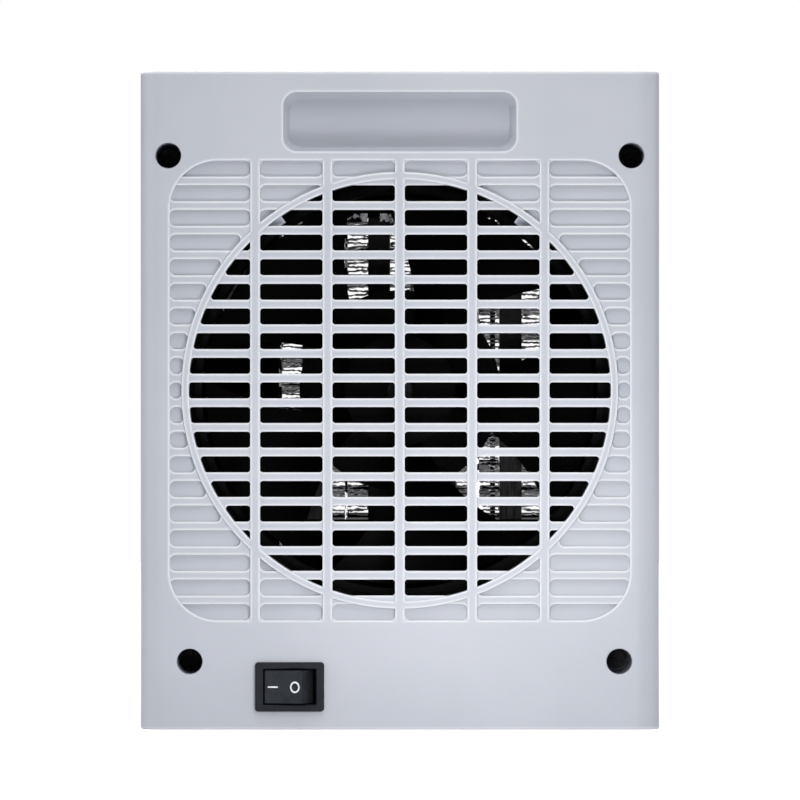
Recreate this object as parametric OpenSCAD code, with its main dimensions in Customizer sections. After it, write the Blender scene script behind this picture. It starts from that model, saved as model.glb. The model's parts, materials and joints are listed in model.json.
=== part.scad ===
// Free-standing fan heater: a moulded two-part housing with a louvred intake
// at the rear, a five-blade axial fan, a ceramic heater block and a front
// outlet. The front looks along -Y, the intake and its power switch along +Y.
// The origin is on the table, under the middle of the housing.

/* [Body] */
// Width of the housing
body_w = 158; // [154:1:176]
// Height of the housing
body_h = 200; // [196:1:230]
// Depth of the housing, without knobs
body_d = 116; // [112:1:140]
// Thickness of the side, top and bottom walls
wall = 2.4; // [2:0.1:2.8]
// Thickness of the rear and front faces
face_t = 3; // [2.6:0.1:3.6]
// Radius of the upright rear edges
rear_edge_r = 7; // [4:0.5:9]
// Radius of the upright front edges
front_edge_r = 14; // [8:0.5:16]
// Depth of the rear shell, from the rear face to the seam
rear_shell_d = 54; // [50:1:58]
// Width of the seam between the two shells
seam = 0.3; // [0.2:0.05:0.6]
// Length of the front shell's tongue inside the rear shell
tongue_d = 3.3; // [2:0.1:5]
// Thickness of that tongue
tongue_t = 1; // [0.8:0.1:1.2]

/* [Rear grille] */
// Height of the fan axis above the table
fan_z = 103.1; // [101:0.1:106]
// Width of the grille field
field_w = 140; // [136:0.5:141]
// Height of the grille field
field_h = 139.8; // [137:0.1:141]
// Corner radius of the grille field
field_r = 14.7; // [8:0.1:18]
// Number of slot rows
slot_rows = 19; // [15:1:20]
// Height of one slot
slot_h = 4.9; // [4:0.1:5.4]
// Number of upright bars
uprights = 5; // [3:1:7]
// Distance between upright bars
upright_pitch = 22; // [18:0.5:23]
// Width of an upright bar
upright_w = 2.95; // [2:0.05:4]
// Depth of an upright bar behind the rear face
upright_d = 7; // [5:0.5:8]
// Width of the ring that closes the open part of the grille
ring_w = 2.2; // [1.6:0.1:3]
// Depth of the ring's collar, from the rear face
collar_d = 11; // [9:0.5:13]
// How far the level bars lie below the rear face
louvre_step = 0.55; // [0.3:0.05:0.9]
// Depth of the blind pockets outside the ring
pocket_d = 1.8; // [1.2:0.1:2]
// Corner radius of an open slot
slot_r = 1; // [0.5:0.1:1.6]
// Corner radius of a blind pocket
pocket_r = 1.8; // [1:0.1:2]
// Radius of the corners between the pockets and the ring
land_r = 1.5; // [0.8:0.1:1.6]
// Lowest angle, in degrees, between a slot's edge and the ring that gets a round corner
round_from = 40; // [30:1:60]
// Turn of the two hooks inside the ring, from its top
hook_at = 36.5; // [30:0.5:60]
// Width of a hook
hook_w = 5; // [4:0.5:12]
// How far a hook reaches into the ring
hook_d = 2.4; // [2:0.1:3.5]

/* [Grip recess] */
// Width of the grip recess
grip_w = 71.1; // [60:0.1:80]
// Height of the grip recess
grip_h = 18.2; // [14:0.1:19]
// Depth of the grip recess
grip_d = 9; // [6:0.5:12]
// Corner radius of the grip recess
grip_r = 4.2; // [2:0.1:6]
// Drop from the top of the housing to the middle of the recess
grip_drop = 15.2; // [13:0.1:16]
// Thickness of the recess's walls
grip_wall = 2; // [1.4:0.1:2.4]

/* [Housing screws] */
// Radius of a screw well
well_r = 3.9; // [3.6:0.1:4.4]
// Wall round a screw well
well_wall = 1.6; // [1.2:0.1:1.8]
// Depth of a screw well, down to the screw's head
well_d = 40; // [30:1:44]
// Inset of the upper wells from the sides
well_top_in = 8.6; // [8.6:0.1:9.5]
// Gap between the upper wells and the fan shroud's box
well_gap = 0.9; // [0.5:0.1:1.5]
// Inset of the lower well beside the power switch
well_left_in = 15.1; // [14:0.1:17]
// Inset of the other lower well
well_right_in = 12.3; // [11:0.1:14]
// Height of the lower wells
well_low_z = 20.7; // [20:0.1:22]
// Radius of a housing screw's shank
screw_r = 1.75; // [1.5:0.05:2]
// Length of a housing screw under its head
screw_len = 20; // [14:1:24]

/* [Fan] */
// Radius at the blade tips
fan_r = 59.5; // [54:0.5:60]
// Number of blades
blades = 5; // [4:1:7]
// Radius of the fan's hub
hub_r = 17; // [15:0.5:20]
// Depth of the hub
hub_d = 20; // [18:0.5:22]
// Depth of a blade at the hub
blade_root_d = 15; // [10:0.5:18]
// Depth of a blade at its tip
blade_tip_d = 13; // [8:0.5:17]
// Thickness of a blade
blade_t = 1.4; // [1:0.1:2]
// Turn of the fan at rest
fan_turn = 42; // [0:1:72]
// Gap between the blade tips and the shroud
tip_gap = 1; // [0.8:0.1:3]
// Thickness of the shroud's walls
shroud_t = 2; // [1.6:0.1:2.4]
// Gap between the shroud's rim and the grille's collar
spigot_gap = 1.7; // [0.5:0.1:2.5]
// Width and height of the shroud's box
shroud_w = 130; // [129:0.5:133]
// Corner radius of the shroud's box
shroud_r = 8; // [6:0.5:10]
// Length of the shroud's box
shroud_len = 63; // [58:0.5:66]

/* [Motor] */
// Radius of the motor's can
motor_r = 18; // [16:0.5:21]
// Length of the motor's can
motor_len = 22; // [20:0.5:24]
// Thickness of the can's wall
can_t = 1.2; // [0.8:0.1:1.6]
// Radius of the shaft
shaft_r = 1.5; // [1.2:0.1:2]
// Radius of the disc that carries the motor
disc_r = 31; // [26:0.5:34]

/* [Heater block] */
// Width of one cell, a heating bar with its two fin strips and a plate
cell_w = 20.6; // [18:0.1:21]
// Number of heating bars
bars = 4; // [3:1:4]
// Width of a heating bar
bar_w = 6.9; // [6:0.1:8]
// Thickness of an electrode plate
plate_t = 0.8; // [0.5:0.1:1.2]
// Drop from the top of the shroud's box to the heating bars
core_drop = 10.8; // [10.4:0.1:14]
// Rise from the bottom of the shroud's box to the heating bars
core_lift = 24.7; // [22:0.1:30]
// Depth of the heating bars and fins
core_d = 13; // [10:0.5:14]
// Sideways offset of the block from the fan axis
core_x = -3.8; // [-6:0.1:0]
// Height of one fold of a fin strip
fold = 1.25; // [1:0.05:2]
// Thickness of the fin sheet
fin_t = 0.3; // [0.2:0.05:0.4]
// Rise of a fold between its two ends
fin_lean = 0.35; // [0:0.05:0.5]
// Height of the caps at the block's ends
cap_h = 3; // [2:0.5:3.5]
// Depth of the heater frame
frame_d = 24; // [22:0.5:26]
// Number of ceramic stones in a heating bar
stones = 4; // [2:1:6]

/* [Outlet] */
// Width and height of the outlet opening
outlet_w = 122; // [118:0.5:123]
// Number of outlet louvres
louvres = 13; // [9:1:15]
// Thickness of an outlet louvre
louvre_t = 1.6; // [1.2:0.1:2.2]
// Depth of an outlet louvre
louvre_d = 10; // [7:0.5:11]
// Tilt of the outlet louvres
louvre_tilt = 15; // [0:1:20]

/* [Controls] */
// Distance of each knob from the near end of the control panel
knob_in = 31; // [27:1:35]
// Radius of a knob's skirt
knob_r = 13; // [11:0.5:14]
// Height of a knob
knob_h = 13; // [11:0.5:16]
// Gap between the control panel and the outlet's collar
panel_gap = 3.1; // [2.2:0.1:5]
// Height of the control panel's lower edge above the table
panel_low = 6; // [4.5:0.1:7]
// Distance of the power switch from the middle
rocker_x = 33.5; // [28:0.5:36]
// Height of the power switch
rocker_z = 13; // [12:0.5:14]
// Width of the power switch's bezel
bezel_w = 21; // [20.5:0.1:22]
// Height of the power switch's bezel
bezel_h = 15; // [14.5:0.1:16]
// Tilt of the rocker to either side
rocker_tilt = 14; // [10:1:15]

/* [Hidden] */
$fn = 48;

// Colours
shell_colour = [0.83, 0.85, 0.89];
black = [0.09, 0.09, 0.10];
steel = [0.62, 0.63, 0.65];
aluminium = [0.80, 0.81, 0.82];
brass = [0.80, 0.65, 0.35];
ceramic = [0.90, 0.88, 0.82];
board_green = [0.15, 0.35, 0.22];

// Clearances and joins
eps = 0.5;        // how far a cut runs past a face
seat = 0.1;       // between faces that rest on each other
slip = 0.2;       // round a piece that is pushed into another
run = 0.05;       // radial, round a turning shaft
press = 0.02;     // radial, round a shaft that is pressed home
root = 1;         // how far one form runs into another that carries it

// Depths, from the rear face to the front
rear_y = body_d / 2;
front_y = -body_d / 2;
face_in = rear_y - face_t;
front_in = front_y + face_t;
seam_y = rear_y - rear_shell_d;
lip_y = seam_y - seam;
collar_y = rear_y - collar_d;
shroud_y1 = collar_y - seat;
shroud_y0 = shroud_y1 - shroud_len;
well_floor_y = rear_y - well_d;

// Grille
bar_h = (field_h - slot_rows * slot_h) / (slot_rows - 1);
row_pitch = slot_h + bar_h;
shroud_bore = fan_r + tip_gap;
ring_r = shroud_bore + shroud_t + spigot_gap;
rim_d = 3;        // how far the shroud's rim runs into the collar
hook_y0 = shroud_y1 + rim_d + slip;

// Screw wells: [x, z, which way the nearer side lies]
well_top_z = fan_z + shroud_w / 2 + well_gap + well_wall + well_r;
wells = [
  [body_w / 2 - well_top_in, well_top_z, 1],
  [well_top_in - body_w / 2, well_top_z, -1],
  [body_w / 2 - well_left_in, well_low_z, 1],
  [well_right_in - body_w / 2, well_low_z, -1]
];
well_floor_t = 2.4;
boss_r = 4.4;
boss_back = 4;    // from the front edge's round to the boss
boss_y1 = well_floor_y - well_floor_t - seat;
boss_y0 = front_y + front_edge_r + boss_back;
web_t = 2;

// Shroud fixing posts, in the corners of the shroud's box
post_r = 3.2;
post_in = 6;
post_at = shroud_w / 2 - post_in;
post_screw_r = 1.2;
post_screw_len = 8;
flange_t = 2.2;

// Fan and motor
fan_set = 6;      // from the grille's collar to the hub
fan_gap = 2;      // between the hub and the motor's disc
cup_t = 1.8;
hub_y1 = collar_y - fan_set;
hub_y0 = hub_y1 - hub_d;
disc_t = 3;
disc_y1 = hub_y0 - fan_gap;
disc_y0 = disc_y1 - disc_t;
arm_w = 4;
shaft_out = 4.5;  // from the hub to the shaft's end
washer_t = 1;
nut_t = 2.3;
can_y1 = disc_y0 - seat;
can_y0 = can_y1 - motor_len;
bush_r = 3;
bush_len = 3;
bush_out = 0.4;
end_cap_t = 2.5;
magnet_t = 3.2;
magnet_in = 2;    // from the can's ends to the magnets
magnet_gap = 22;  // half the angle between the two magnets
air_gap = 0.6;
slot_w = 2;
board_t = 1.6;
diode_r = 1.35;
diode_len = 5;

// Heater
frame_in = 6;     // how far the frame runs into the shroud's box
frame_y1 = shroud_y0 + frame_in;
frame_y0 = frame_y1 - frame_d;
frame_w = shroud_w - 2 * shroud_t - 2 * slip;
frame_t = 2;
frame_r = shroud_r - shroud_t - slip;
tray_t = 3;
core_set = 5;     // from the frame's edge to the block
core_y1 = frame_y1 - core_set;
core_y0 = core_y1 - core_d;
core_mid_y = (core_y0 + core_y1) / 2;
core_w = bars * cell_w + plate_t;
core_h = shroud_w - core_drop - core_lift;
core_z = fan_z + (core_lift - core_drop) / 2;
tube_t = 1.8;
tube_end_t = 1;
cap_over = 0.5;
window_w = core_w + 2 * slip;
window_h = core_h + 2 * cap_h + 4 * slip;
tab_w = 6.3;
tab_h = 9;
flag_at = ceil(bars / 2);
flag_w = [10, 6.7];
flag_h = 2.6;
flag_out = 0.7;   // from the block's rear face to a flag
side_x = (core_x + window_w / 2 + frame_w / 2) / 2;
side_y = frame_y0 + tray_t + seat;
cutout_r = 7.5;
cutout_h = 4;
cutout_cap_r = 6.2;
cutout_cap_h = 2.5;
fuse_r = 2;
fuse_len = 14;
lead_len = 8;

// Outlet
outlet_r = 8;
outlet_t = 2;
outlet_lip = 1.5;
outlet_lip_t = 1.2;
louvre_in = 2;    // from the front face to the louvres
comb_d = 2;       // spine of a comb behind the louvres
comb_bite = 4;    // how far a comb's teeth run between the louvres
outlet_d = louvre_in + louvre_d + comb_d;
outlet_in_w = outlet_w - 2 * slip - 2 * outlet_t;

// Controls
panel_w = 130;
panel_h = fan_z - outlet_w / 2 - outlet_t - panel_gap - panel_low;
panel_t = 1.2;
knob_x = panel_w / 2 - knob_in;
knob_z = panel_low + panel_h / 2;
panel_r = 4;
control_shaft_r = 3;
control_bush_r = 4.5;
control_body_r = 2;
control_nut_r = 7;
control_nut_t = 2.1;
thread_out = 0.4; // from the nut to the end of the thread
mode_size = [26, 24, 14];
stat_size = [22, 20, 9];
lug_t = 0.8;
lug_w = 6.3;
lug_len = 8;
knob_gap = 0.5;
knob_y1 = front_y - knob_gap;
knob_y0 = knob_y1 - knob_h;
knob_top = 2.5;
skirt_h = 3.5;
finger_w = 8;
mark_w = 1.2;
mark_d = 0.6;

// Power switch
rocker_deep = 15;
pivot_deep = 5;
pivot_y = rear_y - pivot_deep;
body_y = rear_y - rocker_deep;
bezel_t = 1.6;
bezel_r = 1;
bezel_lap = 1;    // by which the bezel covers the edge of its opening
cavity_w = 15.9;
cavity_h = 10.7;
switch_floor = 3;
pin_r = 1;
contact_x = 4;
contact_t = 0.8;
contact_len = 10;

// Base
pad_r = 6;
pad_t = 1;
pad_x = body_w / 2 - 18;
pad_in = 15;
gland_back = 26;  // from the seam to the gland
gland_y = seam_y + gland_back;
gland_z = 13;
gland_r = 5;
gland_flange_r = 7.5;
gland_flange_t = 1;
gland_lip = 2;
base_y = seam_y + 22;
tilt_x = -30;
tilt_size = [14, 12, 16];
tilt_foot = [20, 12, 2];
block_x = 9;
pole_pitch = 10;
poles = 3;
block_d = 16;
block_h = 12;
pole_r = 2;
pole_deep = 7;

// Extrudes an outline drawn in X and Z, from y0 to y1
module slab(y0, y1) {
  translate([0, y1, 0])
    rotate([90, 0, 0])
      linear_extrude(height = y1 - y0)
        children();
}

// A rod along Y
module rod(x, z, r, y0, y1) {
  slab(y0, y1) translate([x, z]) circle(r);
}

// A rectangle with round corners
module rounded(w, h, r) {
  square([w, h - 2 * r], center = true);
  square([w - 2 * r, h], center = true);
  for (x = [-1, 1], y = [-1, 1])
    translate([x * (w / 2 - r), y * (h / 2 - r)]) circle(r);
}

// Plan of a shell in X and Y: square at y_seam, round corners at y_face
module plan(w, y_seam, y_face, r) {
  way = y_face > y_seam ? 1 : -1;
  low = min(y_seam, y_face - way * r);
  translate([-w / 2, low]) square([w, abs(y_face - way * r - y_seam)]);
  translate([r - w / 2, min(y_face, y_face - way * r)]) square([w - 2 * r, r]);
  for (x = [-1, 1]) translate([x * (w / 2 - r), y_face - way * r]) circle(r);
}

// Walls of a shell, open at the seam
module tub(y_seam, y_face, r) {
  way = y_face > y_seam ? 1 : -1;
  difference() {
    linear_extrude(height = body_h) plan(body_w, y_seam, y_face, r);
    translate([0, 0, wall])
      linear_extrude(height = body_h - 2 * wall)
        plan(body_w - 2 * wall, y_seam - way * eps, y_face - way * face_t, r - wall);
  }
}

// Shallow seats for the foot pads
module pad_seats(y) {
  for (x = [-1, 1])
    translate([x * pad_x, y, -eps]) cylinder(r = pad_r + seat, h = pad_t + eps);
}

// --- Rear shell: the intake grille is moulded in its face ---

// Outline of the whole grille field
module field() {
  translate([0, fan_z]) rounded(field_w, field_h, field_r);
}

// Upright bars of the grille
module upright_bars() {
  for (i = [0 : uprights - 1])
    translate([(i - (uprights - 1) / 2) * upright_pitch, fan_z])
      square([upright_w, field_h + 2 * eps], center = true);
}

// Ring of the grille
module ring() {
  translate([0, fan_z])
    difference() {
      circle(ring_r + ring_w, $fn = 96);
      circle(ring_r, $fn = 96);
    }
}

// All slots of the grille as rows and columns of rounded openings
module slots(r) {
  inner_w = upright_pitch - upright_w;
  outer_w = field_w / 2 - ((uprights - 1) / 2) * upright_pitch - upright_w / 2;
  outer_x = (field_w - outer_w) / 2;
  for (row = [0 : slot_rows - 1])
    translate([0, fan_z - field_h / 2 + slot_h / 2 + row * row_pitch]) {
      for (i = [0 : uprights - 2])
        translate([(i - (uprights - 2) / 2) * upright_pitch, 0]) rounded(inner_w, slot_h, r);
      for (side = [-1, 1])
        translate([side * outer_x, 0]) rounded(outer_w, slot_h, r);
    }
}

// Middles, [x, z, edge], of round corners of radius r where the slots' upper and lower edges
// meet a circle round the fan: outside it for out = 1, inside it for out = -1. Where the edge
// runs at a lower angle than round_from into the circle, the corner keeps its point
function ring_corners(circle_r, r, out) = [
  for (row = [0 : slot_rows - 1], edge = [-1, 1])
    let (z = row * row_pitch - (field_h - slot_h) / 2 + edge * (slot_h / 2 - r),
         far = circle_r + out * r,
         x = sqrt(max(0, far * far - z * z)),
         bar_gap = min([for (i = [0 : uprights - 1])
           abs(x - abs(i - (uprights - 1) / 2) * upright_pitch)]) - upright_w / 2)
    if (abs(z + edge * r) < circle_r && atan2(x, abs(z)) > round_from
        && bar_gap > r && x < field_w / 2 - r) [x, z, edge]
];

// What rounds those corners: the corner itself without the circle that rolls in it
module corner_fillers(circle_r, r, out) {
  far = circle_r + out * r;
  for (c = ring_corners(circle_r, r, out), side = [-1, 1]) {
    edge_z = c[1] + c[2] * r;
    translate([0, fan_z])
      difference() {
        polygon([for (p = [
            [c[0], c[1]],
            [c[0], edge_z + c[2] * seat],
            [sqrt(circle_r * circle_r - edge_z * edge_z) - out * seat, edge_z + c[2] * seat],
            [c[0], c[1]] * (circle_r - out * seat) / far
          ]) [side * p[0], p[1]]]);
        translate([side * c[0], c[1]]) circle(r);
      }
  }
}

// Round the fan, the slots are open
module open_slots() {
  difference() {
    intersection() {
      slots(slot_r);
      translate([0, fan_z]) circle(ring_r, $fn = 96);
    }
    corner_fillers(ring_r, slot_r, -1);
  }
}

// Outside the ring, the slots are blind pockets
module pockets() {
  difference() {
    intersection() {
      slots(pocket_r);
      field();
    }
    translate([0, fan_z]) circle(ring_r + ring_w, $fn = 96);
    corner_fillers(ring_r + ring_w, land_r, 1);
  }
}

module grip(grow) {
  translate([0, body_h - grip_drop])
    rounded(grip_w + 2 * grow, grip_h + 2 * grow, grip_r + grow);
}

// Hooks on the collar's inside, which locate the rim of the fan shroud
module hooks() {
  for (way = [-1, 1])
    translate([0, fan_z])
      rotate(90 + way * hook_at)
        translate([ring_r - hook_d, -hook_w / 2]) square([hook_d + ring_w / 2, hook_w]);
}

module rear_shell() {
  color(shell_colour)
  difference() {
    union() {
      tub(seam_y, rear_y, rear_edge_r);
      slab(collar_y, face_in + eps) ring();
      slab(hook_y0, face_in + eps) hooks();
      slab(rear_y - upright_d, face_in + eps)
        intersection() {
          upright_bars();
          translate([0, fan_z]) circle(ring_r + ring_w / 2, $fn = 96);
        }
      slab(rear_y - grip_d - grip_wall, face_in + eps) grip(grip_wall);
      for (w = wells)
        rod(w[0], w[1], well_r + well_wall, well_floor_y - well_floor_t, face_in + eps);
      for (x = [-1, 1], z = [-1, 1])
        rod(x * post_at, fan_z + z * post_at, post_r, collar_y, face_in + eps);
    }
    slab(rear_y - louvre_step, rear_y + eps)
      difference() {
        field();
        upright_bars();
        ring();
      }
    slab(rear_y - pocket_d, rear_y + eps) pockets();
    slab(face_in - eps, rear_y + eps) open_slots();
    slab(rear_y - grip_d, rear_y + eps) grip(0);
    for (w = wells) {
      rod(w[0], w[1], well_r, well_floor_y, rear_y + eps);
      rod(w[0], w[1], screw_r + slip, well_floor_y - well_floor_t - eps, well_floor_y + eps);
    }
    for (x = [-1, 1], z = [-1, 1])
      rod(x * post_at, fan_z + z * post_at, post_screw_r + seat, collar_y - eps, face_in - root);
    slab(face_in - eps, rear_y + eps)
      translate([rocker_x, rocker_z])
        square([bezel_w - 2 * bezel_lap, bezel_h - 2 * bezel_lap], center = true);
    translate([body_w / 2, gland_y, gland_z]) rotate([0, 90, 0]) {
      translate([0, 0, -wall - eps]) cylinder(r = gland_r + slip, h = wall + 2 * eps);
      translate([0, 0, -gland_flange_t - seat])
        cylinder(r = gland_flange_r + slip, h = gland_flange_t + seat + eps);
    }
    pad_seats(rear_y - pad_in);
  }
}

// --- Front shell ---

// Frame between the housing's outline less `out` and the tongue's inner face
module tongue_ring(out) {
  in = wall + slip + tongue_t;
  translate([0, body_h / 2])
    difference() {
      square([body_w - 2 * out, body_h - 2 * out], center = true);
      square([body_w - 2 * in, body_h - 2 * in], center = true);
    }
}

module front_shell() {
  collar_w = outlet_w + 2 * outlet_t;
  color(shell_colour)
  difference() {
    union() {
      tub(lip_y, front_y, front_edge_r);
      slab(lip_y - 2 * root, lip_y + tongue_d) tongue_ring(wall + slip);
      slab(lip_y - 3 * root, lip_y - root) tongue_ring(wall / 2);
      slab(front_in - eps, frame_y0 - seat)
        translate([0, fan_z]) rounded(collar_w, collar_w, outlet_r + outlet_t);
      for (w = wells) {
        rod(w[0], w[1], boss_r, boss_y0, boss_y1);
        slab(boss_y0, lip_y - root)
          translate([w[2] > 0 ? w[0] : -body_w / 2 + wall / 2, w[1] - web_t / 2])
            square([body_w / 2 - wall / 2 - abs(w[0]), web_t]);
      }
    }
    slab(front_y - eps, frame_y0 + eps)
      translate([0, fan_z]) rounded(outlet_w, outlet_w, outlet_r);
    slab(front_y - eps, front_y + outlet_lip_t + seat)
      translate([0, fan_z])
        rounded(outlet_w + 2 * outlet_lip + 2 * slip, outlet_w + 2 * outlet_lip + 2 * slip,
                outlet_r + outlet_lip + slip);
    slab(front_y - eps, front_y + panel_t + seat)
      translate([0, knob_z]) rounded(panel_w + 2 * slip, panel_h + 2 * slip, panel_r + slip);
    for (x = [-1, 1])
      rod(x * knob_x, knob_z, control_bush_r + slip, front_y - eps, front_in + eps);
    for (w = wells)
      rod(w[0], w[1], screw_r + seat, well_floor_y - screw_len - boss_back, boss_y1 + eps);
    pad_seats(front_y + pad_in);
  }
}

// Outlet louvres, or the slots that hold their ends
module louvre_blades(grow) {
  pitch = outlet_in_w / (louvres + 1);
  half = outlet_in_w / 2 + root + (grow > 0 ? seat : 0);
  for (i = [1 : louvres])
    translate([0, front_y + louvre_in, fan_z - outlet_in_w / 2 + i * pitch])
      rotate([louvre_tilt, 0, 0])
        translate([-half, -grow, -louvre_t / 2 - grow])
          cube([2 * half, louvre_d + 2 * grow, louvre_t + 2 * grow]);
}

module outlet_frame() {
  w = outlet_w - 2 * slip;
  y1 = front_y + outlet_d;
  color(black)
  difference() {
    union() {
      slab(front_y, y1)
        translate([0, fan_z])
          difference() {
            rounded(w, w, outlet_r - slip);
            rounded(outlet_in_w, outlet_in_w, outlet_r - slip - outlet_t);
          }
      slab(front_y, front_y + outlet_lip_t)
        translate([0, fan_z])
          difference() {
            rounded(w + 2 * outlet_lip, w + 2 * outlet_lip, outlet_r + outlet_lip - slip);
            rounded(outlet_in_w, outlet_in_w, outlet_r - slip - outlet_t);
          }
      for (x = [-1, 0, 1])
        slab(y1 - comb_d - comb_bite, y1)
          translate([x * outlet_in_w / 4, fan_z])
            square([louvre_t, outlet_in_w + 2 * root], center = true);
    }
    louvre_blades(seat);
  }
}

module outlet_louvres() {
  color(black) louvre_blades(0);
}

module control_panel() {
  color(black)
    slab(front_y, front_y + panel_t)
      difference() {
        translate([0, knob_z]) rounded(panel_w, panel_h, panel_r);
        for (x = [-1, 1]) translate([x * knob_x, knob_z]) circle(control_bush_r + slip);
      }
}

// --- Fan and motor ---

module fan_shroud() {
  tube_r = shroud_bore + shroud_t;
  color(black)
  translate([0, 0, fan_z]) {
    difference() {
      union() {
        slab(shroud_y0, shroud_y1) rounded(shroud_w, shroud_w, shroud_r);
        slab(shroud_y1 - eps, shroud_y1 + rim_d) circle(tube_r, $fn = 96);
      }
      slab(shroud_y0 - eps, shroud_y1 - flange_t)
        difference() {
          rounded(shroud_w - 2 * shroud_t, shroud_w - 2 * shroud_t, shroud_r - shroud_t);
          circle(tube_r, $fn = 96);
        }
      slab(shroud_y0 - eps, disc_y0) circle(tube_r + eps, $fn = 96);
      slab(shroud_y0 - eps, shroud_y1 + rim_d + eps) circle(shroud_bore, $fn = 96);
      for (x = [-1, 1], z = [-1, 1])
        rod(x * post_at, z * post_at, post_screw_r + slip, disc_y0, shroud_y1 + eps);
    }
    difference() {
      slab(disc_y0, disc_y1) {
        circle(disc_r, $fn = 96);
        for (i = [0 : blades - 1])
          rotate(fan_turn + i * 360 / blades)
            translate([disc_r - root, -arm_w / 2])
              square([shroud_bore - disc_r + 2 * root, arm_w]);
      }
      rod(0, 0, bush_r + 2 * root, disc_y0 - eps, disc_y1 + eps);
      for (x = [-1, 1]) rod(x * motor_r / 2, 0, post_screw_r + slip, disc_y0 - eps, disc_y1 + eps);
    }
  }
}

// Half the angle that a blade covers on its leading and its trailing side
function lead(r) = 18.4 + 0.4625 * (r - 36);
function trail(r) = 20 + 0.524 * (r - 34);

// One blade: loops of points round its section, from the hub to the tip
blade_steps = 10;
blade_rings = 8;
function blade_point(r, u, side) =
  let (k = (r - hub_r) / (fan_r - hub_r),
       a = -lead(r) + u * (lead(r) + trail(r)),
       depth = blade_root_d + k * (blade_tip_d - blade_root_d),
       camber = 2.2 * sin(180 * u),
       thick = blade_t * (0.35 + 0.65 * sin(180 * (0.1 + 0.8 * u))))
  [r * cos(a), (u - 0.5) * depth + camber + side * thick / 2, r * sin(a)];
function blade_loop(r) = concat(
  [for (j = [0 : blade_steps]) blade_point(r, j / blade_steps, 1)],
  [for (j = [blade_steps : -1 : 0]) blade_point(r, j / blade_steps, -1)]);

module blade() {
  count = 2 * (blade_steps + 1);
  r0 = hub_r - 1;
  points = [for (i = [0 : blade_rings]) each blade_loop(r0 + i * (fan_r - r0) / blade_rings)];
  skin = [for (i = [0 : blade_rings - 1], j = [0 : count - 1])
            let (a = i * count + j, b = i * count + (j + 1) % count)
            each [[b, a, b + count], [b + count, a, a + count]]];
  ends = [for (i = [0, blade_rings], j = [0 : blade_steps - 1])
            let (a = i * count + j, b = i * count + count - 1 - j)
            each i == 0 ? [[a, a + 1, b - 1], [a, b - 1, b]] : [[a, b - 1, a + 1], [a, b, b - 1]]];
  polyhedron(points = points, faces = concat(skin, ends));
}

module fan_impeller() {
  boss_wall = 3;
  boss_set = 2;
  color(black)
  translate([0, 0, fan_z])
  difference() {
    union() {
      difference() {
        rod(0, 0, hub_r, hub_y0, hub_y1);
        rod(0, 0, hub_r - cup_t, hub_y0 - eps, hub_y1 - cup_t);
      }
      rod(0, 0, shaft_r + boss_wall, hub_y0 + boss_set, hub_y1);
      for (i = [0 : blades - 1])
        translate([0, (hub_y0 + hub_y1) / 2, 0])
          rotate([0, -fan_turn - i * 360 / blades, 0]) blade();
    }
    rod(0, 0, shaft_r + press, hub_y0, hub_y1 + eps);
  }
}

module motor_shaft() {
  color(steel) rod(0, fan_z, shaft_r, can_y0 + slip, hub_y1 + shaft_out);
}

// Nut with a washer face, on the shaft's end
module shaft_nut() {
  washer_r = 3.8;
  nut_r = 3.3;
  y1 = hub_y1 + washer_t + nut_t;
  color(steel)
  difference() {
    union() {
      rod(0, fan_z, washer_r, hub_y1 + seat, hub_y1 + seat + washer_t);
      slab(hub_y1 + washer_t, y1) translate([0, fan_z]) circle(nut_r, $fn = 6);
    }
    rod(0, fan_z, shaft_r + press, hub_y1, y1 + eps);
  }
}

module motor_can() {
  color(steel)
  difference() {
    rod(0, fan_z, motor_r, can_y0, can_y1);
    rod(0, fan_z, motor_r - can_t, can_y0 - eps, can_y1 - can_t);
    rod(0, fan_z, bush_r + press, can_y1 - 2 * can_t, can_y1 + eps);
    for (x = [-1, 1])
      rod(x * motor_r / 2, fan_z, post_screw_r + seat, can_y1 - 2 * can_t, can_y1 + eps);
  }
}

module motor_end_cap() {
  color(black)
  difference() {
    rod(0, fan_z, motor_r - can_t - seat, can_y0, can_y0 + end_cap_t);
    rod(0, fan_z, bush_r + press, can_y0 - eps, can_y0 + end_cap_t + eps);
  }
}

module motor_bushes() {
  color(brass)
  difference() {
    union() {
      rod(0, fan_z, bush_r, can_y1 - bush_len, can_y1 + bush_out);
      rod(0, fan_z, bush_r, can_y0 - bush_out, can_y0 + bush_len);
    }
    rod(0, fan_z, shaft_r + run, can_y0 - root, can_y1 + root);
  }
}

module motor_magnets() {
  out_r = motor_r - can_t - seat;
  reach = 2 * out_r;
  half = reach * tan(magnet_gap);
  color([0.25, 0.25, 0.27])
  slab(can_y0 + end_cap_t + magnet_in, can_y1 - can_t - magnet_in)
    translate([0, fan_z])
      difference() {
        circle(out_r);
        circle(out_r - magnet_t);
        for (a = [0, 180]) rotate(a) polygon([[0, 0], [reach, half], [reach, -half]]);
      }
}

module motor_rotor() {
  rotor_r = motor_r - can_t - seat - magnet_t - air_gap;
  color(steel)
  slab(can_y0 + end_cap_t + 2 * magnet_in, can_y1 - can_t - 2 * magnet_in)
    translate([0, fan_z])
      difference() {
        circle(rotor_r);
        circle(shaft_r + press);
        for (a = [0, 120, 240])
          rotate(a) translate([rotor_r / 2, -slot_w / 2]) square([rotor_r, slot_w]);
      }
}

module rectifier_board() {
  y1 = can_y0 - seat;
  color(board_green)
  difference() {
    union() {
      rod(0, fan_z, motor_r - 2 * can_t, y1 - board_t, y1);
      for (z = [-1, 1], x = [-1, 1])
        translate([x * motor_r / 3 - diode_len / 2, y1 - board_t - diode_r / 2, fan_z + z * motor_r / 2])
          rotate([0, 90, 0]) cylinder(r = diode_r, h = diode_len);
    }
    rod(0, fan_z, bush_r + root, y1 - board_t - eps, y1 + eps);
  }
}

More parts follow.
